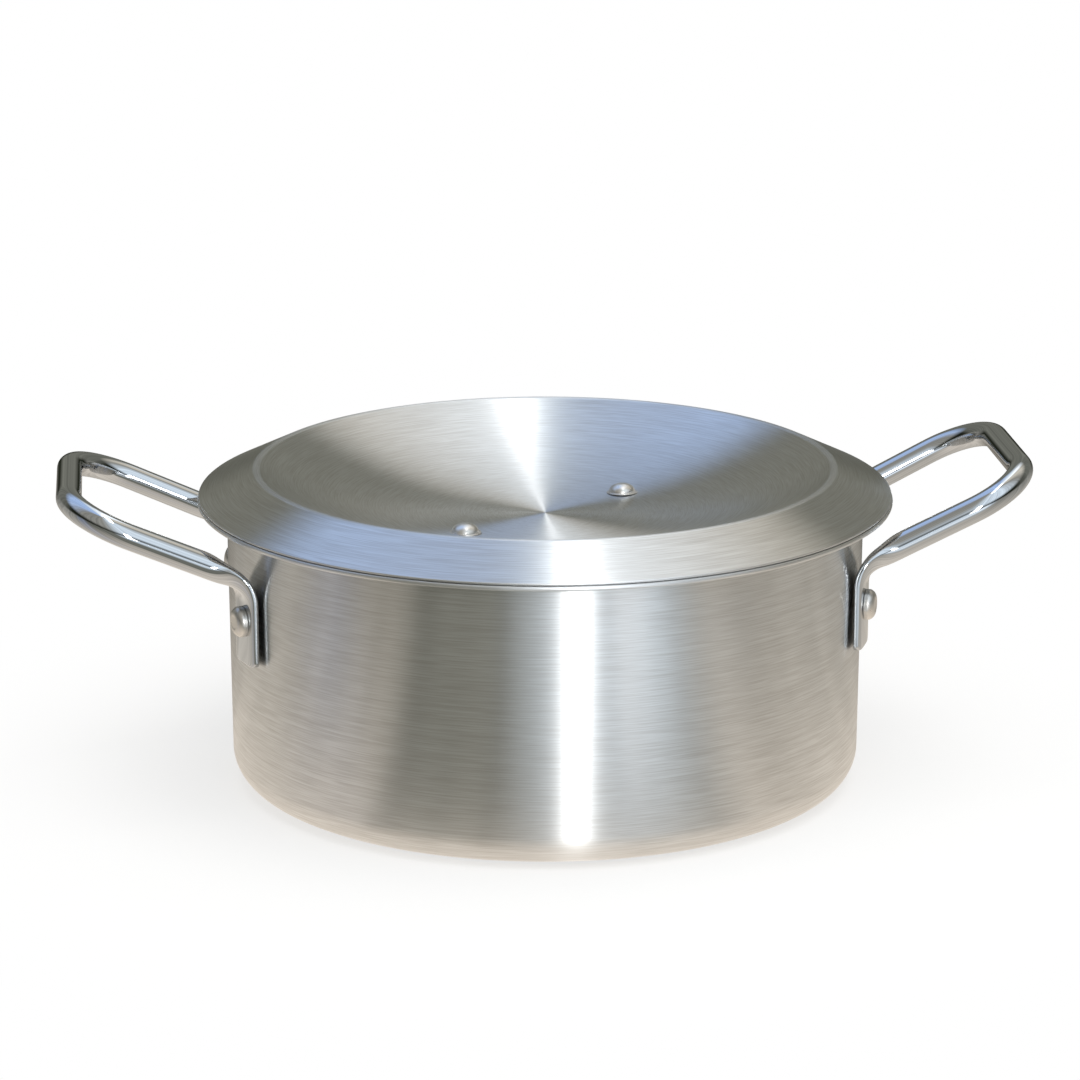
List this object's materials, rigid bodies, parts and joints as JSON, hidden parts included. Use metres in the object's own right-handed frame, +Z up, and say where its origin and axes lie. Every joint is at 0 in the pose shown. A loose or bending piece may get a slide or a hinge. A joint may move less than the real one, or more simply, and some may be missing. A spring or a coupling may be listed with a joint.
{
  "type": "cooking pot",
  "caption": "Wide spun aluminium cooking pot with riveted tube loop handles and a dished lid resting upside down on its flat outward rim.",
  "frame": {"origin": "middle of the underside of the pot's floor", "axes": "+Z up, +X from the left handle to the right handle, +Y away from the picture's viewer"},
  "size_m": [0.4255, 0.3054, 0.1459],
  "materials": {
    "spun_aluminium": "circumferentially brushed",
    "chromed_tube": "polished",
    "rivet_aluminium": "satin"
  },
  "bodies": {
    "pot_assembly": {"pot_body": "spun_aluminium", "handle_left": "chromed_tube", "handle_right": "chromed_tube", "rivet_left_near": "rivet_aluminium", "rivet_left_far": "rivet_aluminium", "rivet_right_near": "rivet_aluminium", "rivet_right_far": "rivet_aluminium"},
    "lid_assembly": {"lid": "spun_aluminium", "lid_handle": "chromed_tube", "lid_rivet_front": "rivet_aluminium", "lid_rivet_back": "rivet_aluminium"}
  },
  "joints": [
    {"name": "lid_lift", "type": "slide", "parent": "pot_assembly", "child": "lid_assembly", "axis": [0, 0, 1], "range_m": [0, 0.15]}
  ]
}
